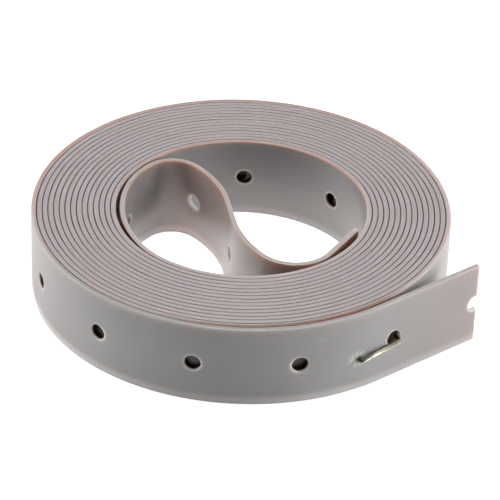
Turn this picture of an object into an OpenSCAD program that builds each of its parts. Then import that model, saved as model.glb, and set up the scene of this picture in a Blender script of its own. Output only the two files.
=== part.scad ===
// Plastic hanger strap: a coil of perforated strap that stands on its edge,
// with a free outer end, a looped inner end and a staple in the outer end.
// Seen from above, the strap runs anticlockwise from the bore outwards.

/* [Strap] */
// Width of the strap, which is also the height of the coil
strap_w = 19.05; // [15:0.05:26]
// Thickness of the strap
strap_t = 1.1; // [0.9:0.05:1.3]
// Diameter of the punched holes
hole_d = 3.5; // [2.5:0.1:5]
// Distance from hole to hole along the strap
hole_pitch = 22.2; // [18:0.1:28]
// Distance from the cut tip to the middle of the hole it is cut across
tip_hole = 0.6; // [0:0.1:1.5]

/* [Coil] */
// Number of turns between the bore and the outer face
turns = 15; // [12:1:16]
// Air between one turn and the next
turn_gap = 0.125; // [0.05:0.025:0.2]
// Depth of the spiral groove that shows the turns on each end
groove_d = 1.6; // [0.5:0.1:4]
// Outer radius of the left and right sides
side_r = 44.15; // [42:0.05:50]
// How much larger the radius of the flatter front and back is
flatness = 2; // [0:0.1:4]

/* [Outer end] */
// How much the radius grows where the last turn stands off the coil
stand_off = 2.5875; // [2:0.0125:6]
// Length of the straight free end, past the last turn
tail_len = 26.5; // [20:0.1:60]

/* [Inner end] */
// How much tighter than the bore the strip bends where it leaves the wall
root_ease = 5.9; // [3:0.1:9]
// Turn of the strip where it leaves the wall
root_turn = 20; // [15:1:25]
// How much flatter than the bore the strip lies along the left wall
wall_ease = 2.5; // [0:0.1:5]
// Turn along the left wall
wall_turn = 56.5; // [50:0.5:60]
// Radius over the top of the loop
crown_r = 12.7; // [11:0.1:14]
// Turn over the top of the loop
crown_turn = 43.5; // [38:0.5:48]
// Radius of the tight bend into the middle
nose_r = 6.8; // [5:0.1:8]
// Turn of the tight bend into the middle
nose_turn = 96.5; // [90:0.5:100]
// Radius where the strip starts to bend back
heel_r = 79; // [50:1:120]
// Turn where the strip starts to bend back
heel_turn = 9.5; // [5:0.5:12]
// Radius of the bend along the front wall
foot_r = 8.7; // [6:0.1:10]
// Turn of the bend along the front wall
foot_turn = 122; // [110:1:125]
// Air between the bend and the front wall, which sets the run across the bore
foot_gap = 0.15; // [0.1:0.05:1]
// Length of the straight lip that ends the strip
lip_len = 12.5; // [6:0.5:14]
// Distance from the end of the lip to the first hole of the loop
lip_hole = 46.1; // [42:0.1:60]

/* [Staple] */
// Length of the staple's crown
crown_len = 10.6; // [8:0.1:14]
// Width of the staple's flat wire
wire_w = 1.25; // [0.8:0.05:1.6]
// Thickness of the staple's flat wire
wire_t = 0.6; // [0.3:0.05:0.8]
// Distance from the middle of the last hole to the nearer leg
leg_x = 1.5; // [0:0.1:3]
// Distance of the crown's middle below the row of holes
crown_drop = 1.4; // [0:0.1:4]
// Slope of the crown, up towards the tip
crown_tilt = 4; // [0:0.5:8]
// How far the legs stand out behind the strap
leg_out = 0.2; // [0:0.05:0.3]
// Clearance between the staple and the strap
staple_gap = 0.05; // [0.02:0.01:0.1]

/* [Hidden] */
$fn = 96;
// Radial distance from one turn to the next
pitch = strap_t + turn_gap;
// Radial thickness of all the turns together
coil_t = turns * pitch - turn_gap;
// The four arcs of each turn meet on lines that rise 4 for every 3 across
run = 0.6;
rise = 0.8;
border = atan2(rise, run);
// Outer radius of the coil on each of its four arcs
face_r = side_r + flatness;
r_right = side_r;
r_back = face_r;
r_left = side_r + pitch / 2;
r_front = face_r - pitch / 2;
r_tail = r_left + stand_off;
// Centre of each arc, so that every arc starts in the direction of the last
c_right = [0, 0];
c_back = c_right - flatness * [run, rise];
c_left = c_back + (flatness - pitch / 2) * [-run, rise];
c_front = c_left + flatness * [run, rise];
c_tail = c_left + stand_off * [run, rise];
// Outer edge of the last turn where it runs straight, and its direction
tail_start = c_tail + r_tail * [run, -rise];
tail_dir = [rise, run];
tail_end = tail_start + tail_len * tail_dir;
// Middle of the box round the coil and its free end
mid_x = (tail_end.x + c_left.x - r_left) / 2;
mid_y = (c_back.y + r_back + c_tail.y - r_tail) / 2;
// Reach of the blades that cut a ring into its four arcs
reach = 2 * face_r;
// Largest turn of one facet of the inner end
facet = 4;
// Depth of a hole in a turn of the coil: through the strap, short of the next turn
punch_d = strap_t + turn_gap / 2;
// How far a cutting tool runs past what it cuts
over = 1;
// The inner end as [radius, turn] or [length, 0], right turns positive: the
// loop off the left wall, and what bends back along the front wall
bore_left = r_left - coil_t;
bore_front = r_front - coil_t;
loop_side = [
    [bore_left - root_ease, root_turn],
    [bore_left + wall_ease, wall_turn],
    [crown_r, crown_turn],
    [nose_r, nose_turn]
];
foot_side = [
    [-heel_r, -heel_turn],
    [-foot_r, -foot_turn],
    [lip_len, 0]
];
// Place and heading [x, y, angle] after a share of one stretch of the inner end
function along(start, stretch, share) =
    let (h = start[2], r = stretch[0], k = h - share * stretch[1])
    stretch[1] == 0
        ? [start[0] + share * r * cos(h), start[1] + share * r * sin(h), h]
        : [start[0] + r * (sin(h) - sin(k)), start[1] + r * (cos(k) - cos(h)), k];

// Place and heading after the first n stretches of a list
function after(start, list, n) =
    n == 0 ? start : along(after(start, list, n - 1), list[n - 1], 1);

// A point beside a place, to the left of the way it heads
function beside(p, d) = [p[0] - d * sin(p[2]), p[1] + d * cos(p[2])];

// Where the inner end leaves the innermost turn, heading clockwise
root_mid = bore_front + strap_t / 2;
root = [
    c_front.x - root_mid * run,
    c_front.y - root_mid * rise,
    180 - atan2(run, rise)
];
nose_end = after(root, loop_side, len(loop_side));
waist_dir = [cos(nose_end[2]), sin(nose_end[2])];
// The bend's centre if there were no waist, and how far out it has to lie
foot_c = beside(along(nose_end, foot_side[0], 1), foot_r) - c_front;
foot_reach = bore_front - foot_gap - strap_t / 2 - foot_r;
waist_len = sqrt((foot_c * waist_dir)^2 - foot_c * foot_c + foot_reach^2)
    - foot_c * waist_dir;
inner_end = concat(loop_side, [[waist_len, 0]], foot_side);
function stretch_start(i) = after(root, inner_end, i);

// Length of a stretch of the inner end, and of all stretches from i on
function stretch_len(s) = s[1] == 0 ? s[0] : s[0] * s[1] * PI / 180;
function len_from(i) =
    i < len(inner_end) ? stretch_len(inner_end[i]) + len_from(i + 1) : 0;

// Place and heading at a distance from the tip of the lip
function from_lip(s, i = len(inner_end) - 1) =
    s <= len_from(i) || i == 0
        ? along(stretch_start(i), inner_end[i], (len_from(i) - s) / stretch_len(inner_end[i]))
        : from_lip(s, i - 1);

// Stations along the middle of the inner end
function facets(i) = max(1, ceil(abs(inner_end[i][1]) / facet));
stations = [
    stretch_start(0),
    for (i = [0 : len(inner_end) - 1])
        let (start = stretch_start(i), n = facets(i))
            for (k = [1 : n]) along(start, inner_end[i], k / n)
];

// The four arcs of the outer turn as [centre, outer radius, end angle, turn],
// listed inwards from the free end
outer_arcs = [
    [c_tail, r_tail, -border, 180 - 2 * border],
    [c_left, r_left, 180 + border, 2 * border],
    [c_back, r_back, 180 - border, 180 - 2 * border],
    [c_right, r_right, border, 2 * border]
];

// The four arcs of the inner turn as [centre, inner radius, start angle, turn],
// listed outwards from the loop
inner_arcs = [
    [c_front, r_front - coil_t, 180 + border, 180 - 2 * border],
    [c_right, r_right - coil_t, -border, 2 * border],
    [c_back, r_back - coil_t, border, 180 - 2 * border],
    [c_left, r_left - coil_t, 180 - border, 2 * border]
];

// Which arc a distance along a turn falls on, as [arc number, angle from its start]
function on_arc(arcs, mid, s, i = 0) =
    let (turn = s / (arcs[i][1] + mid) * 180 / PI)
    turn <= arcs[i][3] || i == 3
        ? [i, turn]
        : on_arc(arcs, mid, s - arcs[i][3] * PI / 180 * (arcs[i][1] + mid), i + 1);

// Length along the middle of a whole turn
function turn_len(arcs, mid, i = 0) =
    i < 4 ? arcs[i][3] * PI / 180 * (arcs[i][1] + mid) + turn_len(arcs, mid, i + 1) : 0;

// Section of the coil: a core with a groove between the turns on both ends
module coil_section(r_out) {
    difference() {
        translate([r_out - coil_t, 0])
            square([coil_t, strap_w]);
        for (k = [1 : turns - 1]) {
            translate([r_out - k * pitch, -over])
                square([turn_gap, groove_d + over]);
            translate([r_out - k * pitch, strap_w - groove_d])
                square([turn_gap, groove_d + over]);
        }
    }
}

// Keeps the part of a ring that faces one way: [1, 0] is right, [0, -1] front
module facing(centre, way) {
    corner = way.y == 0 ? [run * way.x, rise] : [run, rise * way.y];
    other = way.y == 0 ? [run * way.x, -rise] : [-run, rise * way.y];
    intersection() {
        translate([centre.x, centre.y, 0])
            rotate_extrude()
                children();
        translate([centre.x, centre.y, -over])
            linear_extrude(strap_w + 2 * over)
                polygon([[0, 0], reach * corner, reach * other]);
    }
}

// The turned coil with its bore
module coil() {
    facing(c_right, [1, 0]) coil_section(r_right);
    facing(c_back, [0, 1]) coil_section(r_back);
    facing(c_left, [-1, 0]) coil_section(r_left);
    facing(c_front, [0, -1]) coil_section(r_front);
}

// The last turn as it stands off the coil, and the straight free end
module tail() {
    facing(c_tail, [0, -1])
        translate([r_tail - strap_t, 0])
            square([strap_t, strap_w]);
    inner_start = tail_start - strap_t * [run, -rise];
    linear_extrude(strap_w)
        polygon([
            tail_start,
            tail_end,
            inner_start + tail_len * tail_dir,
            inner_start
        ]);
}

// The strip that loops through the bore
module loop() {
    n = len(stations);
    left_face = [for (i = [0 : n - 1]) beside(stations[i], strap_t / 2)];
    right_face = [for (i = [n - 1 : -1 : 0]) beside(stations[i], -strap_t / 2)];
    linear_extrude(strap_w)
        polygon(concat(left_face, right_face));
}

// A punch for one hole, along the radius at an angle, from r_from to r_to
module punch(centre, angle, r_from, r_to) {
    translate([centre.x, centre.y, strap_w / 2])
        rotate([0, 0, angle])
            translate([r_from, 0, 0])
                rotate([0, 90, 0])
                    cylinder(h = r_to - r_from, d = hole_d);
}

// Places its children on the outer face of the free end, s from its tip, with
// X towards the tip, Y into the strap and Z up from the row of holes
module on_tail(s) {
    place = tail_end - s * tail_dir;
    translate([place.x, place.y, strap_w / 2])
        rotate([0, 0, atan2(run, rise)])
            children();
}

// Holes of the free end: the tip is cut across a hole, and the next is stapled
module tail_holes() {
    for (s = [tip_hole : hole_pitch : tail_len])
        on_tail(s)
            translate([0, -over, 0])
                rotate([-90, 0, 0])
                    cylinder(h = strap_t + 2 * over, d = hole_d);
}

// Holes of the outer turn
module outer_holes() {
    from_tip = tail_len - tip_hole;
    first = ceil(from_tip / hole_pitch);
    last = floor((from_tip + turn_len(outer_arcs, -strap_t / 2)) / hole_pitch);
    for (k = [first : last]) {
        spot = on_arc(outer_arcs, -strap_t / 2, k * hole_pitch - from_tip);
        arc = outer_arcs[spot[0]];
        punch(arc[0], arc[2] - spot[1], arc[1] - punch_d, arc[1] + over);
    }
}

// Holes of the loop, square through the strip
module loop_holes() {
    for (s = [lip_hole - hole_pitch : hole_pitch : len_from(0)]) {
        at = from_lip(s);
        translate([at[0], at[1], strap_w / 2])
            rotate([0, 0, at[2]])
                rotate([90, 0, 0])
                    cylinder(h = strap_t + 2 * over, d = hole_d, center = true);
    }
}

// Holes of the innermost turn
module inner_holes() {
    first = hole_pitch - (len_from(0) - lip_hole) % hole_pitch;
    for (s = [first : hole_pitch : turn_len(inner_arcs, strap_t / 2)]) {
        spot = on_arc(inner_arcs, strap_t / 2, s);
        arc = inner_arcs[spot[0]];
        punch(arc[0], arc[2] + spot[1], arc[1] - over, arc[1] + punch_d);
    }
}

// The staple's wire, grown by a clearance: crown on the outer face, two legs
module staple_wire(grow) {
    half_w = wire_w / 2 + grow;
    leg_l = staple_gap + strap_t + leg_out;
    half_l = crown_len / 2;
    on_tail(tip_hole + hole_pitch)
        translate([leg_x - half_l, 0, -crown_drop])
            rotate([0, -crown_tilt, 0]) {
                translate([-half_l - wire_t / 2 - grow, -staple_gap - wire_t - grow, -half_w])
                    cube([crown_len + wire_t + 2 * grow, wire_t + grow, 2 * half_w]);
                for (x = [-half_l, half_l])
                    translate([x - wire_t / 2 - grow, -staple_gap - wire_t / 2, -half_w])
                        cube([wire_t + 2 * grow, leg_l + wire_t / 2 + grow, 2 * half_w]);
            }
}

module strap() {
    color([0.63, 0.60, 0.59])
        translate([-mid_x, -mid_y, 0])
            difference() {
                union() {
                    coil();
                    tail();
                    loop();
                }
                tail_holes();
                outer_holes();
                loop_holes();
                inner_holes();
                staple_wire(staple_gap);
            }
}

module staple() {
    color([0.72, 0.71, 0.64])
        translate([-mid_x, -mid_y, 0])
            staple_wire(0);
}

strap();
staple();
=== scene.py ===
"""The looks of a coil of plastic hanger strap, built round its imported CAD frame.

The strap is one flat, punched strip that Geometry Nodes wind along its middle line, from the cut tip
of the free end, round the coil and through the loop in the bore. Everything is in metres.
"""

import math
from types import SimpleNamespace

import bmesh
import bpy
import numpy as np
from bpy.props import FloatProperty, FloatVectorProperty, IntProperty, PointerProperty
from mathutils import Matrix, Vector


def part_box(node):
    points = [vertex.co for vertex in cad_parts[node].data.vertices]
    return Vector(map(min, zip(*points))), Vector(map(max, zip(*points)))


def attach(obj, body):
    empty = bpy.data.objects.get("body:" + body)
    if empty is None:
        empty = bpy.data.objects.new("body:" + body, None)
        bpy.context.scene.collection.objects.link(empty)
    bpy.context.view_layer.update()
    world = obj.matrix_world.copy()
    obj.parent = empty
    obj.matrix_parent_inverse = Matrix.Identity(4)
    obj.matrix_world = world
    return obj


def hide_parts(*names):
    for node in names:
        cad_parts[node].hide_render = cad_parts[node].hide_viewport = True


bl_info = {
    "name": "Hanger strap",
    "version": (1, 0, 0),
    "blender": (4, 5, 0),
    "location": "View3D > Sidebar > Hanger strap",
    "description": "Dresses a coil of perforated plastic hanger strap and its staple",
    "category": "Add Mesh",
}

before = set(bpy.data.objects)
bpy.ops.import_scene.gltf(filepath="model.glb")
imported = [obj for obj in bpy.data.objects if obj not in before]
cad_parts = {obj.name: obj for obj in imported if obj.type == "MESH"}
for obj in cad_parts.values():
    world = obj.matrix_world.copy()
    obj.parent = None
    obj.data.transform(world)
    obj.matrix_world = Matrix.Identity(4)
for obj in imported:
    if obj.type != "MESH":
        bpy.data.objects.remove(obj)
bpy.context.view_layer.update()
STRAP_LOW, STRAP_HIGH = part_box("strap")
# The four arcs of a turn meet on lines that rise 4 for every 3 across
RUN, RISE = 0.6, 0.8
BORDER = math.atan2(RISE, RUN)
SIDE_TURN = 2 * BORDER
END_TURN = math.pi - SIDE_TURN
# Stretches of the strap's line: before it comes behind the free end, in a turn, and after the coil
BEFORE_BESIDE, IN_TURN, IN_BORE = 5, 4, 9
# Degrees that the line turns inside the bore, to the right or with a minus to the left
OFF_WALL, ALONG_WALL, LOOP_TOP, LOOP_BEND, WAY_DOWN = 20, 50.875, 28.179, 90, 33.857
APPROACH, FOOT = -29.698, -107.906
# Faces along each side of the square round a hole, an even number
GRID = 6
# Columns of faces from a hole's square to the end of its length, where it is seen and where not
FINE_COLUMNS, PLAIN_COLUMNS = 8, 4
# At each end the repeated lengths 0 to SEEN_HOLES have fine faces, and the first has hole FIRST_HOLE
SEEN_HOLES, FIRST_HOLE = 15, 2
# Pitches from the first hole and from the last between which the strip is stretched to its length
SPREAD_FROM, SPREAD_TO = 17.5, 20.5
# Share of its width that the strap loses at most, for each metre of waviness
NARROWING = 200
# Share of the staple's twist that it has at its near leg already
NEAR_TWIST = 0.15
# Angle between two faces, in radians, from which their edge is sharp
SHARP_ANGLE = 0.95
# Added to a limit so that points right on it count as inside
HAIR = 0.00001
WHITE = (1, 1, 1, 1)


def length(name, description, default):
    """A size that the sidebar shows with its unit."""
    return FloatProperty(
        name=name, description=description, default=default, min=0, unit="LENGTH", precision=5
    )


def colour(name, description, default):
    """A colour that the sidebar shows as a swatch."""
    return FloatVectorProperty(
        name=name, description=description, default=default, min=0, max=1, subtype="COLOR"
    )


def angle(name, description, default):
    """An angle that the sidebar shows in degrees."""
    return FloatProperty(name=name, description=description, default=default, subtype="ANGLE")


class StrapSizes(bpy.types.PropertyGroup):
    """Sizes of the strap, and of the line that it follows."""

    width: length("Width", "Width of the strap", STRAP_HIGH.z - STRAP_LOW.z)
    thickness: length("Thickness", "Thickness of the strap", 0.0011)
    edge: length("Edge rounding", "Radius along the strap's long edges", 0.00016)
    hole: length("Hole diameter", "Diameter of the punched holes", 0.0035)
    hole_pitch: length("Hole pitch", "Distance from hole to hole", 0.0222)
    tip_hole: length("First hole", "Distance from the cut tip to the hole it is cut across", 0.0006)
    burr: length("Hole edge", "Width of the worn edge round a hole", 0.00012)
    halo: length("Hole halo", "How far the plastic is stretched pale round a hole", 0.0007)
    margin: length("Hole margin", "From a hole's edge to the square of faces round it", 0.00095)
    cut_edge: length("Cut edge", "Bevel along the edges of the cut ends", 0.00007)
    turns: IntProperty(name="Turns", description="Turns in the coil", default=15, min=1)
    gap: length("Gap", "Air between one turn and the next", 0.000125)
    side: length("Side radius", "Outer radius of the left and right sides", 0.04415)
    flatness: length("Flatness", "How much larger the front and back radius is", 0.002)
    stand_off: length("Stand-off", "How much the last turn's radius grows", 0.0025875)
    tail: length("Free end", "Length of the straight free end", 0.0265)
    off_wall: length("Off the wall", "How much tighter the line turns as it leaves the wall", 0.0059)
    along_wall: length("Along the wall", "How much wider it turns along the left side", 0.0025)
    loop_top: length("Loop's top", "Radius over the top of the loop", 0.018)
    loop_bend: length("Loop's bend", "Radius of the loop's tight bend", 0.0067957)
    way_down: length("Way down", "Radius of the way down from the loop", 0.0269666)
    waist: length("Waist", "Straight run of the strap across the bore", 0.0069815)
    approach: length("Approach", "Radius of the bend towards the front wall", 0.0288375)
    foot: length("Foot", "Radius of the bend along the front wall", 0.0087568)
    lip: length("Lip", "Length of the straight lip that ends the strap", 0.0114019)
    lip_hole: length("Last hole", "Distance from the lip's end to the nearest hole", 0.0211)
    waviness: length("Waviness", "How far the strap wanders in and out of its line", 0.00005)


class StrapLooks(bpy.types.PropertyGroup):
    """Colours of the strap, the light and shade painted on it, and how light meets it."""

    face: colour("Face", "Colour of the plastic", (0.415, 0.382, 0.378))
    # painted highlight on the open rounded edges
    rim: colour("Edges", "The thin outer edges", (0.52, 0.47, 0.455))
    # painted light through the plastic, with shade, along the upper edges
    tan: colour("Back edges", "The thin outer edges where light comes through", (0.33, 0.2, 0.14))
    # painted shade, warm, in a narrowing gap
    warm: colour("Narrow gap", "Warm tint of a narrowing gap", (0.32, 0.16, 0.1))
    # painted shade beside the root of the free end
    mouth: colour("Mouth", "Brown of the edge beside the root of the free end", (0.17, 0.1, 0.07))
    # painted shade on the rounded edges between the turns
    seam: colour("Seams", "The edges between the turns", (0.36, 0.305, 0.29))
    # painted shade: the dark of the faces that touch between the turns
    nip: colour("Between turns", "Dark tint of the faces that touch", (0.05, 0.038, 0.033))
    pale: colour("Stretched", "Plastic whitened by the punch and the staple", (0.68, 0.65, 0.63))
    crest: colour("Upper edges", "Tint of the edges that show as the coil's turns", (1.0, 0.93, 0.955))
    # painted reflection: a colder tint on the front
    front: colour("Front", "Colder tint of the front", (0.95, 1.0, 1.0))
    grey_crest: colour("Grey edges", "Tint of the loop's and the free end's edges", (0.71, 0.82, 0.8))
    # painted light on the lower edge
    glow: colour("Lower edge", "The lower edge, lit through from the white floor", (1.0, 0.85, 0.81))
    depth: length("Light depth", "How far light spreads in the plastic", 0.0042)
    spread: colour("Light spread", "Share of that depth for red, green and blue", (1.0, 0.72, 0.62))
    clouds: FloatProperty(name="Clouds", description="Level of the darkest clouds", default=0.92)
    roughness: FloatProperty(name="Roughness", description="Satin of the plastic", default=0.34)


class StapleSizes(bpy.types.PropertyGroup):
    """Sizes and colours of the staple."""

    crown: length("Crown", "Length of the crown from leg to leg", 0.0106)
    wire_width: length("Wire width", "Width of the flat wire", 0.00125)
    wire_thickness: length("Wire thickness", "Thickness of the flat wire", 0.0006)
    bend: length("Bend", "Radius at the middle of the wire where a leg meets the crown", 0.0004)
    leg: length("Nearer leg", "Distance from the last hole to the leg at its rim", 0.0015)
    drop: length("Drop", "Distance of the crown's middle below the holes", 0.0014)
    tilt: angle("Tilt", "Slope of the crown", 0.0698)
    clearance: length("Clearance", "Between the crown and the strap", 0.00005)
    out: length("Leg ends", "How far the legs stand out behind the strap", 0.0002)
    sag: length("Sag", "How far the crown is bent up and down", 0.00012)
    roll: angle("Roll", "Twist at the far leg", 0.8)
    steel: colour("Steel", "Colour of the wire's faces", (0.11, 0.1, 0.085))
    # painted highlight: colour of the wire's lower edge
    edge_glint: colour("Bare steel", "Colour of the wire's worn edges", (0.47, 0.45, 0.37))
    stain: colour("Stain", "Dirt and rust on the wire", (0.16, 0.12, 0.08))


class StageSizes(bpy.types.PropertyGroup):
    """The floor and the photograph's viewpoint."""

    floor: length("Floor", "Side of the square floor", 6.0)
    distance: length("Distance", "From the camera to its target", 0.65219)
    elevation: angle("Elevation", "Of the camera", 0.5984)
    azimuth: angle("Azimuth", "Of the camera, from the front", -0.0213)
    roll: angle("Roll", "Of the camera, anticlockwise", 0.0376)
    target: FloatVectorProperty(
        name="Target",
        description="Point the camera looks at",
        default=(-0.00005, 0.01178, 0.0),
        subtype="TRANSLATION",
        unit="LENGTH",
    )
    lens: FloatProperty(name="Lens", description="Focal length", default=210.12, unit="CAMERA")


class Value:
    """A socket in a sum: an expression on values adds its Math nodes."""

    def __init__(self, nodes, socket):
        self.nodes, self.socket = nodes, socket

    def output(self, name):
        """Another output of the same node."""
        return Value(self.nodes, self.socket.node.outputs[name])

    def __add__(self, other):
        return self.nodes.math("ADD", self, other)

    def __sub__(self, other):
        return self.nodes.math("SUBTRACT", self, other)

    def __rsub__(self, other):
        return self.nodes.math("SUBTRACT", other, self)

    def __mul__(self, other):
        return self.nodes.math("MULTIPLY", self, other)

    def __gt__(self, other):
        return self.nodes.math("GREATER_THAN", self, other)

    def __lt__(self, other):
        return self.nodes.math("LESS_THAN", self, other)

    def __abs__(self):
        return self.nodes.math("ABSOLUTE", self)

    __radd__ = __add__
    __rmul__ = __mul__


class Nodes:
    """Adds nodes to one tree."""

    def __init__(self, tree):
        self.tree = tree

    def add(self, kind, settings=None, sockets=None, output=0):
        """A node of a kind, its settings set first, and its sockets given values or links."""
        node = self.tree.nodes.new(kind)
        for name, setting in (settings or {}).items():
            setattr(node, name, setting)
        for name, given in (sockets or {}).items():
            for item in given if isinstance(given, list) else [given]:
                if isinstance(item, Value):
                    self.tree.links.new(item.socket, node.inputs[name])
                else:
                    node.inputs[name].default_value = item
        return Value(self, node.outputs[output]) if node.outputs else None

    def math(self, operation, *sockets):
        """A Math node on one or two values or numbers."""
        return self.add("ShaderNodeMath", {"operation": operation}, dict(enumerate(sockets)))

    def vector(self, operation, *sockets):
        """A Vector Math node, whose factor of a scaling stands in its socket 3."""
        numbered = {3 if operation == "SCALE" and i else i: s for i, s in enumerate(sockets)}
        return self.add("ShaderNodeVectorMath", {"operation": operation}, numbered)

    def most(self, first, second):
        """The larger of two values."""
        return self.math("MAXIMUM", first, second)

    def smooth(self, value, start, end, low=0.0, high=1.0):
        """A smooth step from low, where value is at start, to high at end."""
        return self.add(
            "ShaderNodeMapRange",
            {"interpolation_type": "SMOOTHSTEP"},
            {"Value": value, "From Min": start, "From Max": end, "To Min": low, "To Max": high},
        )

    def band(self, value, start, full, fading, gone):
        """1 while value is between full and fading, and smoothly down to 0 on either side."""
        return self.smooth(value, start, full) * self.smooth(value, fading, gone, 1.0, 0.0)

    def mix(self, factor, first, second):
        """One colour laid over another by a factor."""
        colours = {"Factor": factor, 6: first, 7: second}
        return self.add("ShaderNodeMix", {"data_type": "RGBA"}, colours, output=2)

    def laid(self, factor, below, shade):
        """A plain colour laid over another by a factor."""
        return self.mix(factor, below, (*shade, 1))

    def tinted(self, factor, below, tint):
        """A colour multiplied by a tint, by a factor."""
        return self.vector("MULTIPLY", below, self.mix(factor, WHITE, (*tint, 1)))

    def noise(self, vector, scale, detail):
        """Noise from 0 to 1 on a vector."""
        sockets = {"Vector": vector, "Scale": scale, "Detail": detail}
        return self.add("ShaderNodeTexNoise", {}, sockets)

    def stretched_noise(self, place, scale, detail):
        """Noise from 0 to 1 with a scale of its own along each axis."""
        return self.noise(self.vector("MULTIPLY", place, Vector(scale)), 1.0, detail)


def place_after(place, stretch, share=1.0):
    """(x, y, heading) after a share of a stretch: (radius, right turn), or (length, 0)."""
    x, y, heading = place
    size, turn = stretch
    if turn == 0:
        return x + share * size * math.cos(heading), y + share * size * math.sin(heading), heading
    after = heading - share * turn
    return (
        x + size * (math.sin(heading) - math.sin(after)),
        y + size * (math.cos(after) - math.cos(heading)),
        after,
    )


def stretches(sizes):
    """The strap's middle line from its cut tip inwards, as (radius, right turn) or (length, 0)."""
    pitch = sizes.thickness + sizes.gap
    back = sizes.side + sizes.flatness
    left, front = sizes.side + pitch / 2, back - pitch / 2
    yield sizes.tail, 0
    yield left + sizes.stand_off - sizes.thickness / 2, END_TURN
    for turn in range(sizes.turns):
        inwards = turn * pitch + sizes.thickness / 2
        yield left - inwards, SIDE_TURN
        yield back - inwards, END_TURN
        yield sizes.side - inwards, SIDE_TURN
        yield front - inwards, END_TURN
    wall = left - sizes.turns * pitch + sizes.gap
    # off the wall, along the left side, over the top of the loop and round its tight bend
    yield wall - sizes.off_wall, math.radians(OFF_WALL)
    yield wall + sizes.along_wall, math.radians(ALONG_WALL)
    yield sizes.loop_top, math.radians(LOOP_TOP)
    yield sizes.loop_bend, math.radians(LOOP_BEND)
    yield sizes.way_down, math.radians(WAY_DOWN)
    # across the bore, along the front wall and up to the lip
    yield sizes.waist, 0
    yield -sizes.approach, math.radians(APPROACH)
    yield -sizes.foot, math.radians(FOOT)
    yield sizes.lip, 0


def size_of(stretch):
    """Length of a stretch."""
    return stretch[0] * stretch[1] if stretch[1] else stretch[0]


def landmarks(sizes):
    """Lengths from the tip to the turn behind the free end, to the last turn and to the loop."""
    parts = [size_of(stretch) for stretch in stretches(sizes)]
    return sum(parts[:BEFORE_BESIDE]), sum(parts[: -IN_BORE - IN_TURN]), sum(parts[:-IN_BORE])


def tip_place(sizes):
    """Place and heading of the middle line at the cut tip, worked out from the frame's box."""
    pitch = sizes.thickness + sizes.gap
    left, back = sizes.side + pitch / 2, sizes.side + sizes.flatness
    apart = sizes.flatness - pitch / 2
    tail_radius = left + sizes.stand_off - sizes.thickness / 2
    x = STRAP_LOW.x + left + sizes.stand_off * RUN + tail_radius * RUN + sizes.tail * RISE
    y = STRAP_HIGH.y - back + apart * RISE + sizes.stand_off * RISE
    return x, y - tail_radius * RISE + sizes.tail * RUN, math.pi + math.atan2(RUN, RISE)


def middle_line(sizes):
    """Points along the strap's middle line, close enough together for its bends."""
    place = tip_place(sizes)
    points = [place[:2]]
    for stretch in stretches(sizes):
        steps = max(1, math.ceil(abs(stretch[1]) / math.radians(2)))
        points += [place_after(place, stretch, (i + 1) / steps)[:2] for i in range(steps)]
        place = place_after(place, stretch)
    return points


def line_object(name, points):
    """A curve object through points on the floor."""
    data = bpy.data.curves.new(name, "CURVE")
    data.dimensions = "3D"
    spline = data.splines.new("POLY")
    spline.points.add(len(points) - 1)
    for point, (x, y) in zip(spline.points, points):
        point.co = (x, y, 0, 1)
    return plain_object(name, data)


def section(sizes, rows):
    """The strap's section as (out, up) points round it, and how far each lies in a rounded edge."""
    half_t, half_w, edge = sizes.thickness / 2, sizes.width / 2, sizes.edge
    flat, side = half_t - edge, half_w - edge
    slant = edge * math.sqrt(0.5)
    up = [(half_t, z) for z in rows]
    corner = flat + slant
    top = [(corner, side + slant), (flat, half_w), (-flat, half_w), (-corner, side + slant)]
    down = [(-half_t, z) for z in reversed(rows)]
    # these values mark the rounded edges, on which a highlight and shade are painted later
    worn = [0.0] * len(rows) + [1.0, 0.4, 0.4, 1.0]
    return up + top + down + [(y, -z) for y, z in reversed(top)], worn + worn


def strap_columns(half, block, count):
    """Places along a punched length: the lines of its hole's square, and some on either side."""
    before = [-half + (half - block) * i / count for i in range(count)]
    return before + grid_lines(block) + [-x for x in reversed(before)]


def grid_lines(block):
    """Places of the lines that divide the square round a hole."""
    return [block * (2 * i / GRID - 1) for i in range(GRID + 1)]


def flat_strap(name, sizes, columns, block=0.0, centres=()):
    """A length of flat strap, X along it, Y out of the coil and Z up, punched at some places."""
    inner = grid_lines(block) if block else []
    side = sizes.width / 2 - sizes.edge
    profile, worn = section(sizes, [-side, *inner, side])
    count = len(profile)
    verts = [(x, y, z) for x in columns for y, z in profile]
    edge = worn * len(columns)
    blocks = [*range(1, GRID + 1), *range(count // 2 + 1, count // 2 + GRID + 1)]
    faces = []
    for c in range(len(columns) - 1):
        middle = (columns[c] + columns[c + 1]) / 2
        punched = any(abs(middle - centre) < block for centre in centres)
        for p in range(count):
            if punched and p in blocks:
                continue
            q = (p + 1) % count
            faces.append((c * count + p, c * count + q, (c + 1) * count + q, (c + 1) * count + p))
    rim = [0.0] * len(verts)
    for centre in centres:
        add_hole(sizes, centre, block, verts, faces, rim)
    mesh = bpy.data.meshes.new(name)
    mesh.from_pydata(verts, [], faces)
    edge += [0.0] * (len(verts) - len(edge))
    mesh.attributes.new("rim", "FLOAT", "POINT").data.foreach_set("value", rim)
    mesh.attributes.new("edge", "FLOAT", "POINT").data.foreach_set("value", edge)
    return mesh


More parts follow.
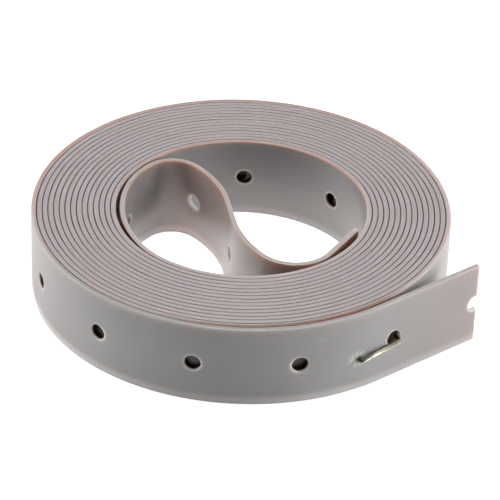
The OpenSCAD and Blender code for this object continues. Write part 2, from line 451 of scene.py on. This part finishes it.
def add_hole(sizes, centre, block, verts, faces, rim):
    """Rings of faces from a square in both faces of the strap to the wall of a round hole."""
    half = GRID // 2
    square = [(1, k / half) for k in range(half)] + [(k / half, 1) for k in range(half, -half, -1)]
    square += [(-1, k / half) for k in range(half, -half, -1)]
    square += [(k / half, -1) for k in range(-half, half)] + [(1, k / half) for k in range(-half, 0)]
    sides = len(square)
    angles = [2 * math.pi * i / sides for i in range(sides)]
    half_t, radius = sizes.thickness / 2, sizes.hole / 2
    index = {tuple(round(c, 7) for c in v): i for i, v in enumerate(verts)}
    walls = []
    for out in (1, -1):
        corners = [(centre + block * a, out * half_t, block * b) for a, b in square]
        rings = [[index[tuple(round(c, 7) for c in corner)] for corner in corners]]
        for reach, depth, worn in (
            (radius + sizes.halo, 0, 0.0),
            (radius + sizes.burr, 0, 1.0),
            (radius, sizes.burr, 1.0),
        ):
            rings.append(range(len(verts), len(verts) + sides))
            y = out * (half_t - depth)
            verts += [(centre + reach * math.cos(a), y, reach * math.sin(a)) for a in angles]
            rim += [worn] * sides
        for wide, narrow in zip(rings, rings[1:]):
            for i in range(sides):
                j = (i + 1) % sides
                face = (wide[i], narrow[i], narrow[j], wide[j])
                faces.append(face if out > 0 else face[::-1])
        walls.append(rings[-1])
    for i in range(sides):
        j = (i + 1) % sides
        faces.append((walls[0][i], walls[1][i], walls[1][j], walls[0][j]))


def close_end(mesh, at, way, bevel):
    """Cuts a length of flat strap at an X, keeps what lies past it that way, and caps the cut."""
    work = bmesh.new()
    work.from_mesh(mesh)
    parts = work.verts[:] + work.edges[:] + work.faces[:]
    bmesh.ops.bisect_plane(
        work, geom=parts, dist=1e-7, plane_co=(at, 0, 0), plane_no=(way, 0, 0), clear_inner=True
    )
    open_edges = [edge for edge in work.edges if edge.is_boundary]
    cut = [edge for edge in open_edges if all(abs(vert.co.x - at) < 1e-6 for vert in edge.verts)]
    caps = bmesh.ops.holes_fill(work, edges=cut, sides=0)["faces"]
    border = list({e for face in caps for e in face.edges})
    bmesh.ops.bevel(
        work, geom=border, offset=bevel, segments=1, profile=0.5, affect="EDGES", clamp_overlap=True
    )
    worn = work.verts.layers.float["rim"]
    for vert in work.verts:
        if abs(vert.co.x - at) < 1.5 * bevel:
            vert[worn] = 1.0
    work.to_mesh(mesh)
    work.free()


def wind_tree(material):
    """Repeats a punched length, adds the two ends and winds the strip along the line."""
    tree = bpy.data.node_groups.new("wind strap", "GeometryNodeTree")
    ramps = ("Wedge", "Loop", "Free end", "Bore")
    for name, kind in (
        ("Seen length", "Geometry"),
        ("Hidden length", "Object"),
        ("Tip", "Object"),
        ("Lip", "Object"),
        ("Line", "Object"),
        ("Holes", "Int"),
        ("Seen holes", "Int"),
        ("First hole", "Int"),
        ("Hole pitch", "Float"),
        ("Tip hole", "Float"),
        ("Slack", "Float"),
        ("Slack from", "Float"),
        ("Slack to", "Float"),
        ("Flat half", "Float"),
        ("Waviness", "Float"),
        *[(f"{ramp} {part}", "Float") for ramp in ramps for part in ("start", "end")],
    ):
        tree.interface.new_socket(name=name, in_out="INPUT", socket_type="NodeSocket" + kind)
    tree.interface.new_socket(name="Strap", in_out="OUTPUT", socket_type="NodeSocketGeometry")
    nodes = Nodes(tree)
    given = nodes.add("NodeGroupInput")
    strip = join_lengths(nodes, given)
    place = nodes.add("GeometryNodeInputPosition")
    place = nodes.add("ShaderNodeSeparateXYZ", {}, {"Vector": place})
    slack = nodes.add(
        "ShaderNodeMapRange",
        {},
        {
            "Value": place,
            "From Min": given.output("Slack from"),
            "From Max": given.output("Slack to"),
            "To Min": 0.0,
            "To Max": given.output("Slack"),
        },
    )
    along = place + given.output("Tip hole") + slack
    out, up = place.output("Y"), place.output("Z")
    # each face is hidden for the part of the strap where another turn lies against it
    wedge, loop, free, bore = (
        nodes.smooth(along, given.output(ramp + " start"), given.output(ramp + " end"))
        for ramp in ramps
    )
    outside = out > 0
    hidden = outside * wedge * (1 - loop) + (1 - outside) * free * (1 - bore)
    rounded = nodes.add("GeometryNodeInputNamedAttribute", {}, {"Name": "edge"})
    strip = stored(nodes, strip, "along", along)
    strip = stored(nodes, strip, "side", out)
    # masks for painted light and shade: a highlight on the open rounded edges, and shade on the
    # rounded edges and the faces between the turns
    strip = stored(nodes, strip, "open", rounded * (1 - hidden))
    strip = stored(nodes, strip, "edge", rounded * hidden)
    strip = stored(nodes, strip, "nip", hidden * (abs(up) < given.output("Flat half")))
    kept = nodes.add("GeometryNodeInputNamedAttribute", {}, {"Name": "along"})
    line = object_of(nodes, given.output("Line"))
    on_line = nodes.add(
        "GeometryNodeSampleCurve",
        {"mode": "LENGTH", "use_all_curves": True},
        {"Curves": line, "Length": kept},
        output="Position",
    )
    outwards = nodes.vector("CROSS_PRODUCT", Vector((0, 0, 1)), on_line.output("Tangent"))
    # the strap wanders in and out, and is a little narrower here and there
    wander = (wave(nodes, kept, 31.0, 0.0) - 0.5) * given.output("Waviness")
    shrink = 1 - wave(nodes, kept, 23.0, 5.0) * given.output("Waviness") * NARROWING
    beside = nodes.vector("SCALE", nodes.vector("NORMALIZE", outwards), out + wander)
    lift = nodes.add("ShaderNodeCombineXYZ", {}, {"Z": up * shrink})
    position = nodes.vector("ADD", nodes.vector("ADD", on_line, beside), lift)
    strip = nodes.add("GeometryNodeSetPosition", {}, {"Geometry": strip, "Position": position})
    strip = nodes.add("GeometryNodeSetShadeSmooth", {}, {"Geometry": strip})
    soft = nodes.add("GeometryNodeInputMeshEdgeAngle") < SHARP_ANGLE
    strip = nodes.add(
        "GeometryNodeSetShadeSmooth", {"domain": "EDGE"}, {"Geometry": strip, "Shade Smooth": soft}
    )
    strip = nodes.add("GeometryNodeRealizeInstances", {}, {"Geometry": strip})
    strip = nodes.add("GeometryNodeSetMaterial", {}, {"Geometry": strip, "Material": material})
    nodes.add("NodeGroupOutput", {}, {"Strap": strip})
    return tree


def join_lengths(nodes, given):
    """One straight strip: the tip, fine lengths where they are seen, plain ones between, the lip."""
    pitch = given.output("Hole pitch")
    step = nodes.add("ShaderNodeCombineXYZ", {}, {"X": pitch})
    first = nodes.add("ShaderNodeCombineXYZ", {}, {"X": pitch * given.output("First hole")})
    points = nodes.add(
        "GeometryNodeMeshLine",
        {},
        {"Count": given.output("Holes"), "Start Location": first, "Offset": step},
    )
    number = nodes.add("GeometryNodeInputIndex")
    seen_holes = given.output("Seen holes")
    last = given.output("Holes") - seen_holes - 1
    hidden = (number > seen_holes) * (number < last)
    plain = object_of(nodes, given.output("Hidden length"))
    strips = []
    for kind, where in ((given, 1 - hidden), (plain, hidden)):
        sockets = {"Points": points, "Instance": kind, "Selection": where}
        strips.append(nodes.add("GeometryNodeInstanceOnPoints", {}, sockets))
    strips += [object_of(nodes, given.output(end)) for end in ("Tip", "Lip")]
    strip = nodes.add("GeometryNodeJoinGeometry", {}, {"Geometry": strips})
    strip = nodes.add("GeometryNodeRealizeInstances", {}, {"Geometry": strip})
    return nodes.add("GeometryNodeMergeByDistance", {}, {"Geometry": strip, "Distance": 5e-6})


def object_of(nodes, given):
    """The geometry of an object that the tree is given."""
    return nodes.add("GeometryNodeObjectInfo", {}, {"Object": given}, output="Geometry")


def stored(nodes, geometry, name, value):
    """Keeps a value on every point under a name."""
    settings = {"data_type": "FLOAT", "domain": "POINT"}
    sockets = {"Geometry": geometry, "Name": name, "Value": value}
    return nodes.add("GeometryNodeStoreNamedAttribute", settings, sockets)


def wave(nodes, along, scale, shift):
    """A slow wave along the strap, from 0 to 1."""
    sockets = {"W": along + shift, "Scale": scale, "Detail": 1.0}
    return nodes.add("ShaderNodeTexNoise", {"noise_dimensions": "1D"}, sockets)


def set_inputs(modifier, values):
    """Sets a modifier's inputs by the identifiers of their sockets."""
    for item in modifier.node_group.interface.items_tree:
        if item.item_type == "SOCKET" and item.in_out == "INPUT" and item.name in values:
            modifier[item.identifier] = values[item.name]


def plain_object(name, data):
    """An object at the origin, in the scene."""
    made = bpy.data.objects.new(name, data)
    bpy.context.scene.collection.objects.link(made)
    return made


def baked(piece, name):
    """A plain mesh object of what a piece's modifiers make, in place of the piece."""
    depsgraph = bpy.context.evaluated_depsgraph_get()
    mesh = bpy.data.meshes.new_from_object(piece.evaluated_get(depsgraph))
    mesh.name = name
    bpy.data.objects.remove(piece)
    return plain_object(name, mesh)


def new_material(name):
    """A material without nodes, and what adds them."""
    material = bpy.data.materials.new(name)
    material.use_nodes = True
    material.node_tree.nodes.clear()
    return material, Nodes(material.node_tree)


def strap_material(looks, sizes, staple):
    """Satin grey plastic: painted warm and dark shade between the turns, pale round the holes and the
    staple.
    """
    material, nodes = new_material("strap_plastic")
    place = nodes.add("ShaderNodeTexCoord", output="Object")
    axes = nodes.add("ShaderNodeSeparateXYZ", {}, {"Vector": place})
    # all that the colour of a point depends on
    at = SimpleNamespace(place=place, y=axes.output("Y"), height=axes.output("Z"))
    for name in ("nip", "rim", "edge", "open", "along", "side"):
        kept = nodes.add("ShaderNodeAttribute", {"attribute_name": name}, output="Fac")
        setattr(at, name, kept)
    at.beside, last_turn, at.root = landmarks(sizes)
    at.crest = nodes.smooth(at.height, sizes.width - 0.0003, sizes.width - 0.0001)
    inner = nodes.smooth(at.side, 0.0, -0.0003)
    at.bore = nodes.smooth(at.along, last_turn, last_turn + 0.03) * inner
    cloud = nodes.noise(place, 45.0, 3.0)
    streaks = nodes.stretched_noise(place, (6, 6, 900), 3.0)
    shade = nodes.smooth(cloud, 0.3, 0.7, 0.0, 0.6) + nodes.smooth(streaks, 0.35, 0.75, 0.0, 0.25)
    face = nodes.laid(shade, (*looks.face, 1), [part * looks.clouds for part in looks.face])
    face = wear_and_painted_edges(nodes, looks, at, face, stress_marks(nodes, place, sizes, staple))
    face = shaded_face(nodes, looks, sizes, at, face)
    base = painted_light_face(nodes, looks, sizes, at, face)
    relief = nodes.noise(place, 1800.0, 3.0) * 0.5 + streaks
    bump = nodes.add("ShaderNodeBump", {}, {"Strength": 0.25, "Distance": 0.00003, "Height": relief})
    roughness = nodes.smooth(cloud, 0.2, 0.8, looks.roughness - 0.04, looks.roughness + 0.06)
    shader = nodes.add(
        "ShaderNodeBsdfPrincipled",
        {},
        {
            "Base Color": base,
            "Roughness": roughness,
            "IOR": 1.5,
            "Subsurface Weight": 0.75,
            "Subsurface Radius": looks.spread,
            "Subsurface Scale": looks.depth,
            "Normal": bump,
        },
    )
    nodes.add("ShaderNodeOutputMaterial", {}, {"Surface": shader})
    return material


def wear_and_painted_edges(nodes, looks, at, face, marks):
    """The plastic with its pale holes, scuffs and marks, and its edges: a painted highlight on the
    open ones, painted shade between the turns.
    """
    scuff = nodes.stretched_noise(at.place, (160, 160, 2600), 2.0)
    pale = nodes.most(at.rim * 0.7, nodes.smooth(scuff, 0.72, 0.8, 0.0, 0.35))
    # one short scratch above the third hole
    across = nodes.smooth(abs(at.height + at.along * 0.2 - 0.023), 0.00003, 0.00012, 0.8, 0.0)
    scratch = across * nodes.smooth(abs(at.along - 0.0405), 0.0006, 0.001, 1.0, 0.0)
    pale = nodes.most(pale, scratch * (at.side > 0))
    face = nodes.laid(nodes.most(pale, marks), face, looks.pale)
    # painted highlight on the open rounded edges
    face = nodes.laid(at.open * 0.8, face, looks.rim)
    # painted shade on the rounded edges between the turns
    return nodes.laid(at.edge * 0.45, face, looks.seam)


def shaded_face(nodes, looks, sizes, at, face):
    """The plastic with painted shade inside the coil, a painted colder reflection and painted light on
    the front, and its upper edges tinted.
    """
    root = at.root
    # painted shade and light: inside the coil the faces are painted dark at the top and light at the
    # bottom, standing in for the floor lighting them from below
    loop = nodes.band(at.along, root, root + 0.02, root + 0.075, root + 0.095)
    inside = nodes.most(at.bore, loop) * (1 - at.crest)
    inside_shading = inside * nodes.smooth(at.height, 0.0, sizes.width, 0.2, -0.45) + 1
    face = nodes.tinted(at.crest, nodes.vector("SCALE", face, inside_shading), looks.crest)
    # painted reflection and light: the front is tinted colder and made a little lighter
    front = nodes.smooth(at.y, -0.036, -0.022, 1.0, 0.0) * nodes.smooth(at.side, 0.0, 0.0003)
    front = front * (1 - at.crest)
    face = nodes.vector("SCALE", nodes.tinted(front, face, looks.front), front * 0.07 + 1)
    # the edges of the free end and the loop are greyer, and greyest across the bore
    crossing = nodes.band(at.along, root + 0.05, root + 0.065, root + 0.085, root + 0.1)
    grey = nodes.smooth(at.along, root, root + 0.02) * (crossing * 0.35 + 0.65)
    grey = nodes.most(grey, nodes.smooth(at.along, 0.09, 0.13, 0.9, 0.0))
    return nodes.tinted(grey * at.crest, face, looks.grey_crest)


def painted_light_face(nodes, looks, sizes, at, face):
    """Painted light where light would come through the plastic, and painted shade between its turns.
    """
    beside, root, top = at.beside, at.root, sizes.width
    # painted light through the plastic and shade: warm along the upper edges at the back, and under
    # the upper edge of the loop
    upper = nodes.smooth(at.height, top - 0.0009, top - 0.0003)
    outer = nodes.smooth(at.along, 0.235, 0.25, 1.0, 0.0) * nodes.smooth(at.side, -0.0005, 0.0)
    back = nodes.smooth(at.y, -0.01, 0.02) * nodes.most(outer, at.bore)
    beneath = nodes.smooth(at.along, root, root + 0.02, 0.0, 0.5)
    beneath = beneath + nodes.smooth(at.along, root + 0.05, root + 0.07, 0.0, 0.3)
    beneath = beneath * nodes.smooth(at.height, top - 0.003, top - 0.0003) * (1 - at.crest)
    face = nodes.laid(nodes.most(upper * back, beneath) * 0.75, face, looks.tan)
    # painted shade: brown beside the root of the free end
    near = nodes.band(at.along, beside - 0.012, beside, beside + 0.03, beside + 0.055)
    wedge_shade = upper * near * nodes.smooth(at.side, -0.0003, 0.0003)
    face = nodes.laid(wedge_shade * 0.85, face, looks.mouth)
    # painted light: pale towards the white floor, least on the free end
    wide = nodes.smooth(at.height, 0.0, 0.0026, 0.85, 0.0)
    under = nodes.most(wide, nodes.smooth(at.height, 0.0, 0.0014, 1.0, 0.0))
    under = under * nodes.smooth(at.along, 0.02, 0.04, 0.5, 1.0) * (1 - at.nip)
    face = nodes.laid(under, face, looks.glow)
    # painted shade, warm, on the faces between the turns
    face = nodes.laid(nodes.smooth(at.nip, 0.0, 0.4), face, looks.warm)
    # painted light and shade: the gap behind the free end is painted warm near its mouth, and all gaps
    # are painted dark deeper down
    tail_side = nodes.smooth(at.along, sizes.tail + 0.03, sizes.tail + 0.055, 1.0, 0.0)
    mouth = nodes.smooth(at.height, top - 0.0035, top - 0.0004) * nodes.most(near, tail_side)
    return nodes.laid(nodes.smooth(at.nip * (1 - mouth * 0.75), 0.2, 0.75), face, looks.nip)


def stress_marks(nodes, place, sizes, staple):
    """How white the plastic is round the staple's far leg, where the leg has been driven in."""
    leg = crown_place(sizes, staple) @ Vector((-staple.crown / 2 - 0.0003, 0, 0.0002))
    leg.z -= STRAP_LOW.z
    from_leg = nodes.add(
        "ShaderNodeVectorMath", {"operation": "DISTANCE"}, {0: place, 1: leg}, output="Value"
    )
    near = nodes.smooth(from_leg, 0.001, 0.0028, 1.0, 0.0)
    torn = nodes.stretched_noise(place, (2200, 2200, 700), 2.0)
    return near * nodes.smooth(torn, 0.36, 0.56)


def steel_material(sizes):
    """Dull, stained steel wire, with a painted highlight along its lower edge."""
    material, nodes = new_material("staple_steel")
    place = nodes.add("ShaderNodeTexCoord", output="Object")
    wear = nodes.noise(place, 700.0, 3.0)
    stain = nodes.smooth(wear, 0.54, 0.7)
    edge_glint = nodes.add("ShaderNodeAttribute", {"attribute_name": "edge_glint"}, output="Fac")
    # painted highlight along the lower edge
    steel = nodes.laid(nodes.smooth(edge_glint, 0.55, 0.85), (*sizes.steel, 1), sizes.edge_glint)
    base = nodes.laid(stain, steel, sizes.stain)
    shader = nodes.add(
        "ShaderNodeBsdfPrincipled",
        {},
        {
            "Base Color": base,
            "Metallic": nodes.smooth(stain, 0.0, 1.0, 0.85, 0.2),
            "Roughness": nodes.smooth(wear, 0.3, 0.8, 0.3, 0.55),
        },
    )
    nodes.add("ShaderNodeOutputMaterial", {}, {"Surface": shader})
    return material


def strap_ramps(sizes):
    """Where along the strap each face passes from open to hidden, as (start, end)."""
    beside, last_turn, root = landmarks(sizes)
    return {
        "Wedge": (beside - 0.02, beside + 0.045),
        "Loop": (root, root + 0.03),
        "Free end": (0.5 * sizes.tail, 2 * sizes.tail),
        "Bore": (last_turn, last_turn + 0.03),
    }


class AddStrap(bpy.types.Operator):
    """Wind the punched strap along its line, in place of the CAD strap"""

    bl_idname = "hanger_strap.add_strap"
    bl_label = "Add strap"

    def execute(self, context):
        sizes = context.scene.strap_sizes
        pitch, half = sizes.hole_pitch, sizes.hole_pitch / 2
        block = sizes.hole / 2 + sizes.margin
        total = sum(size_of(stretch) for stretch in stretches(sizes))
        to_last = total - sizes.lip_hole - sizes.tip_hole
        holes = round(to_last / pitch)
        fine = strap_columns(half, block, FINE_COLUMNS)
        plain = strap_columns(half, block, PLAIN_COLUMNS)
        free = fine + [x + pitch for x in fine[1:]]
        tip = flat_strap("tip", sizes, free, block, (0, pitch))
        close_end(tip, -sizes.tip_hole, 1, sizes.cut_edge)
        lip_start, lip_end = holes * pitch + half, holes * pitch + sizes.lip_hole
        columns = list(np.linspace(lip_start, lip_end, FINE_COLUMNS + 1))
        lip = flat_strap("lip", sizes, columns, block)
        close_end(lip, lip_end, -1, sizes.cut_edge)
        parts = {
            "Tip": tip,
            "Lip": lip,
            "Hidden length": flat_strap("hidden", sizes, plain, block, (0,)),
        }
        spares = {name: plain_object(name, mesh) for name, mesh in parts.items()}
        spares["Line"] = line_object("strap_line", middle_line(sizes))
        piece = plain_object("hanger_strap", flat_strap("seen", sizes, fine, block, (0,)))
        modifier = piece.modifiers.new("wind", "NODES")
        looks, staple = context.scene.strap_looks, context.scene.staple_sizes
        modifier.node_group = wind_tree(strap_material(looks, sizes, staple))
        ramps = {
            f"{name} {part}": place
            for name, places in strap_ramps(sizes).items()
            for part, place in zip(("start", "end"), places)
        }
        values = {
            "Holes": holes - 1,
            "Seen holes": SEEN_HOLES,
            "First hole": FIRST_HOLE,
            "Hole pitch": pitch,
            "Tip hole": sizes.tip_hole,
            "Slack": to_last - holes * pitch,
            "Slack from": SPREAD_FROM * pitch,
            "Slack to": (holes - SPREAD_TO) * pitch,
            "Flat half": sizes.width / 2 - sizes.edge + HAIR,
            "Waviness": sizes.waviness,
        }
        set_inputs(modifier, {**spares, **values, **ramps})
        smoothing = piece.modifiers.new("weighted normals", "WEIGHTED_NORMAL")
        smoothing.weight = 100
        smoothing.keep_sharp = True
        strap = baked(piece, "hanger_strap")
        for spare in spares.values():
            bpy.data.objects.remove(spare)
        strap.data.transform(Matrix.Translation((0, 0, STRAP_LOW.z + sizes.width / 2)))
        check_closed(strap)
        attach(strap, "root")
        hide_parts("strap")
        return {"FINISHED"}


def check_closed(piece):
    """Stops if a mesh has an open or doubled edge."""
    work = bmesh.new()
    work.from_mesh(piece.data)
    wrong = sum(not edge.is_manifold for edge in work.edges)
    work.free()
    if wrong:
        raise RuntimeError(f"{piece.name} isn't closed: {wrong} edges")


def crown_place(strap, sizes):
    """The staple's frame: the crown's middle, X towards the tip, Y into the strap and Z across it."""
    x, y, heading = tip_place(strap)
    ahead = Vector((math.cos(heading), math.sin(heading), 0))
    outwards = Vector((-ahead.y, ahead.x, 0))
    origin = Vector((x, y, STRAP_LOW.z + strap.width / 2)) + outwards * strap.thickness / 2
    origin += ahead * (strap.tip_hole + strap.hole_pitch)
    turned = Matrix((-ahead, -outwards, (0, 0, 1))).transposed().to_4x4()
    moved = Matrix.Translation((sizes.leg - sizes.crown / 2, 0, -sizes.drop))
    return Matrix.Translation(origin) @ turned @ moved @ Matrix.Rotation(-sizes.tilt, 4, "Y")


def staple_line(strap, sizes):
    """Stations (x, y, z, heading, roll) along the wire's middle, from the near leg to the far one."""
    half, bend, steps = sizes.crown / 2, sizes.bend, 6
    leg_y = strap.thickness + sizes.out
    half_t, half_w = sizes.wire_thickness / 2, sizes.wire_width / 2

    def crown_y(roll):
        """How far out the wire's middle lies, so that its twisted corner clears the strap."""
        return -sizes.clearance - half_t * math.cos(roll) - half_w * math.sin(roll)

    def corner(side, roll):
        """Stations round a bend, from its leg to the crown."""
        stations = [(side * half, leg_y, roll, 0.0)]
        for i in range(steps + 1):
            turn = math.pi / 2 * i / steps
            x = half - bend * (1 - math.cos(turn))
            stations.append((side * x, crown_y(roll) + bend * (1 - math.sin(turn)), roll, turn))
        return stations

    near, far = corner(1, NEAR_TWIST * sizes.roll), corner(-1, sizes.roll)
    near = [(x, y, 0.0, -math.pi / 2 - turn, roll) for x, y, roll, turn in near]
    far = [(x, y, 0.0, -1.5 * math.pi + turn, roll) for x, y, roll, turn in far]
    count = 20
    crown = []
    for i in range(1, count):
        share = i / count
        twist = share * share * (3 - 2 * share)
        roll = sizes.roll * (NEAR_TWIST + (1 - NEAR_TWIST) * twist)
        sag = -sizes.sag * math.sin(math.tau * share)
        crown.append(((1 - 2 * share) * (half - bend), crown_y(roll), sag, -math.pi, roll))
    return near + crown + far[::-1]


def staple_mesh(strap, sizes):
    """Flat wire swept along the staple's line, its ends closed."""
    half_t, half_w, count = sizes.wire_thickness / 2, sizes.wire_width / 2, 24
    ring = []
    for i in range(count):
        turn = math.tau * (i + 0.5) / count
        across, up = math.cos(turn), math.sin(turn)
        full = (abs(across) ** 3 + abs(up) ** 3) ** (-1 / 3)
        ring.append((half_t * across * full, half_w * up * full))
    verts, edge_glint = [], []
    for x, y, z, heading, roll in staple_line(strap, sizes):
        side_x, side_y = math.sin(heading), -math.cos(heading)
        for a, b in ring:
            # painted highlight along the lower edge, and more so towards the near leg
            edge_glint.append(0.5 - b / half_w + 0.4 * x / (sizes.crown / 2))
            across = a * math.cos(roll) + b * math.sin(roll)
            up = b * math.cos(roll) - a * math.sin(roll)
            verts.append((x + side_x * across, y + side_y * across, z + up))
    rings = len(verts) // count
    faces = []
    for r in range(rings - 1):
        for p in range(count):
            q = (p + 1) % count
            faces.append((r * count + p, r * count + q, (r + 1) * count + q, (r + 1) * count + p))
    faces += [tuple(reversed(range(count))), tuple(range((rings - 1) * count, rings * count))]
    mesh = bpy.data.meshes.new("staple_wire")
    mesh.from_pydata(verts, [], faces)
    mesh.attributes.new("edge_glint", "FLOAT", "POINT").data.foreach_set("value", edge_glint)
    mesh.transform(crown_place(strap, sizes))
    return mesh


class AddStaple(bpy.types.Operator):
    """Bend the staple's flat wire, in place of the CAD staple"""

    bl_idname = "hanger_strap.add_staple"
    bl_label = "Add staple"

    def execute(self, context):
        sizes = context.scene.staple_sizes
        mesh = staple_mesh(context.scene.strap_sizes, sizes)
        work = bmesh.new()
        work.from_mesh(mesh)
        bmesh.ops.recalc_face_normals(work, faces=work.faces)
        work.to_mesh(mesh)
        work.free()
        mesh.shade_smooth()
        mesh.materials.append(steel_material(sizes))
        piece = plain_object("staple_wire", mesh)
        smoothing = piece.modifiers.new("weighted normals", "WEIGHTED_NORMAL")
        smoothing.keep_sharp = False
        check_closed(piece)
        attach(piece, "root")
        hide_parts("staple")
        return {"FINISHED"}


def softbox(name, place, target, size, power):
    """A rectangular lamp that faces a point, its power in watts."""
    data = bpy.data.lights.new(name, "AREA")
    data.shape, data.size, data.size_y, data.energy = "RECTANGLE", size[0], size[1], power
    lamp = plain_object(name, data)
    lamp.location = place
    lamp.rotation_euler = (Vector(target) - Vector(place)).to_track_quat("-Z", "Y").to_euler()
    return lamp


def floor_material():
    """White floor that the camera sees as white, with the object's shadow kept."""
    material, nodes = new_material("white_floor")
    path = nodes.add("ShaderNodeLightPath")
    seen = nodes.most(path.output("Is Camera Ray"), path.output("Is Glossy Ray"))
    seen = nodes.most(seen, path.output("Is Transmission Ray"))
    glow = nodes.add("ShaderNodeEmission", {}, {"Color": WHITE, "Strength": seen * 0.8})
    place = nodes.add("ShaderNodeTexCoord", output="Object")
    from_centre = nodes.vector("LENGTH", place).output("Value")
    # painted light: the floor is whiter under the bore, standing in for light from below, so that it
    # throws more light onto the walls inside
    paper = nodes.smooth(from_centre, 0.02, 0.045, 1.0, 0.4)
    shade = nodes.add("ShaderNodeCombineColor", {}, {"Red": paper, "Green": paper, "Blue": paper})
    matt = nodes.add("ShaderNodeBsdfDiffuse", {}, {"Color": shade})
    both = nodes.add("ShaderNodeAddShader", {}, {0: glow, 1: matt})
    nodes.add("ShaderNodeOutputMaterial", {}, {"Surface": both})
    return material


def studio_world():
    """White seen by the camera, and a soft grey light for everything else."""
    world = bpy.data.worlds.new("studio")
    bpy.context.scene.world = world
    world.use_nodes = True
    tree = world.node_tree
    tree.nodes.clear()
    nodes = Nodes(tree)
    path = nodes.add("ShaderNodeLightPath")
    sky = nodes.smooth(path.output("Is Camera Ray"), 0, 1, 0.06, 1.0)
    back = nodes.add("ShaderNodeBackground", {}, {"Color": WHITE, "Strength": sky})
    nodes.add("ShaderNodeOutputWorld", {}, {"Surface": back})


class AddStage(bpy.types.Operator):
    """Set the floor, the lamps and the camera"""

    bl_idname = "hanger_strap.add_stage"
    bl_label = "Add stage"

    def execute(self, context):
        stage = context.scene.stage_sizes
        half = stage.floor / 2
        mesh = bpy.data.meshes.new("floor")
        corners = [(-half, -half, 0), (half, -half, 0), (half, half, 0), (-half, half, 0)]
        mesh.from_pydata(corners, [], [(0, 1, 2, 3)])
        mesh.materials.append(floor_material())
        floor = plain_object("floor", mesh)
        studio_world()
        centre = (0, 0, STRAP_HIGH.z / 2)
        for name, place, size, power in (
            ("left_softbox", (-0.66, 0.05, 0.2), (0.45, 0.4), 4.0),
            ("right_softbox", (0.66, -0.12, 0.2), (0.45, 0.4), 4.7),
            ("top_softbox", (0, 0.04, 0.7), (0.35, 0.35), 4.2),
        ):
            softbox(name, place, centre, size, power)
        camera = plain_object("camera", bpy.data.cameras.new("camera"))
        camera.data.lens = stage.lens
        camera.data.sensor_width = 36
        camera.data.clip_start, camera.data.clip_end = 0.01, 20
        turned = Matrix.Rotation(stage.azimuth, 3, "Z")
        tipped = Matrix.Rotation(math.pi / 2 - stage.elevation, 3, "X")
        aim = turned @ tipped @ Matrix.Rotation(stage.roll, 3, "Z")
        camera.location = Vector(stage.target) + aim @ Vector((0, 0, stage.distance))
        camera.rotation_euler = aim.to_euler()
        context.scene.camera = camera
        context.scene.view_settings.view_transform = "Standard"
        return {"FINISHED"}


class StrapPanel(bpy.types.Panel):
    """The sizes, the colours and the pieces"""

    bl_idname = "VIEW3D_PT_hanger_strap"
    bl_label = "Hanger strap"
    bl_space_type = "VIEW_3D"
    bl_region_type = "UI"
    bl_category = "Hanger strap"

    def draw(self, context):
        for group in GROUPS:
            settings = getattr(context.scene, group)
            for name in settings.bl_rna.properties.keys():
                if name not in ("rna_type", "name"):
                    self.layout.prop(settings, name)
        for operator in OPERATORS:
            self.layout.operator(operator.bl_idname)


GROUPS = {
    "strap_sizes": StrapSizes,
    "strap_looks": StrapLooks,
    "staple_sizes": StapleSizes,
    "stage_sizes": StageSizes,
}
OPERATORS = (AddStrap, AddStaple, AddStage)


def register():
    for kind in (*GROUPS.values(), *OPERATORS, StrapPanel):
        bpy.utils.register_class(kind)
    for name, kind in GROUPS.items():
        setattr(bpy.types.Scene, name, PointerProperty(type=kind))


def unregister():
    for name in GROUPS:
        delattr(bpy.types.Scene, name)
    for kind in reversed((*GROUPS.values(), *OPERATORS, StrapPanel)):
        bpy.utils.unregister_class(kind)


def main():
    register()
    bpy.ops.hanger_strap.add_strap()
    bpy.ops.hanger_strap.add_staple()
    bpy.ops.hanger_strap.add_stage()


if __name__ == "__main__":
    main()
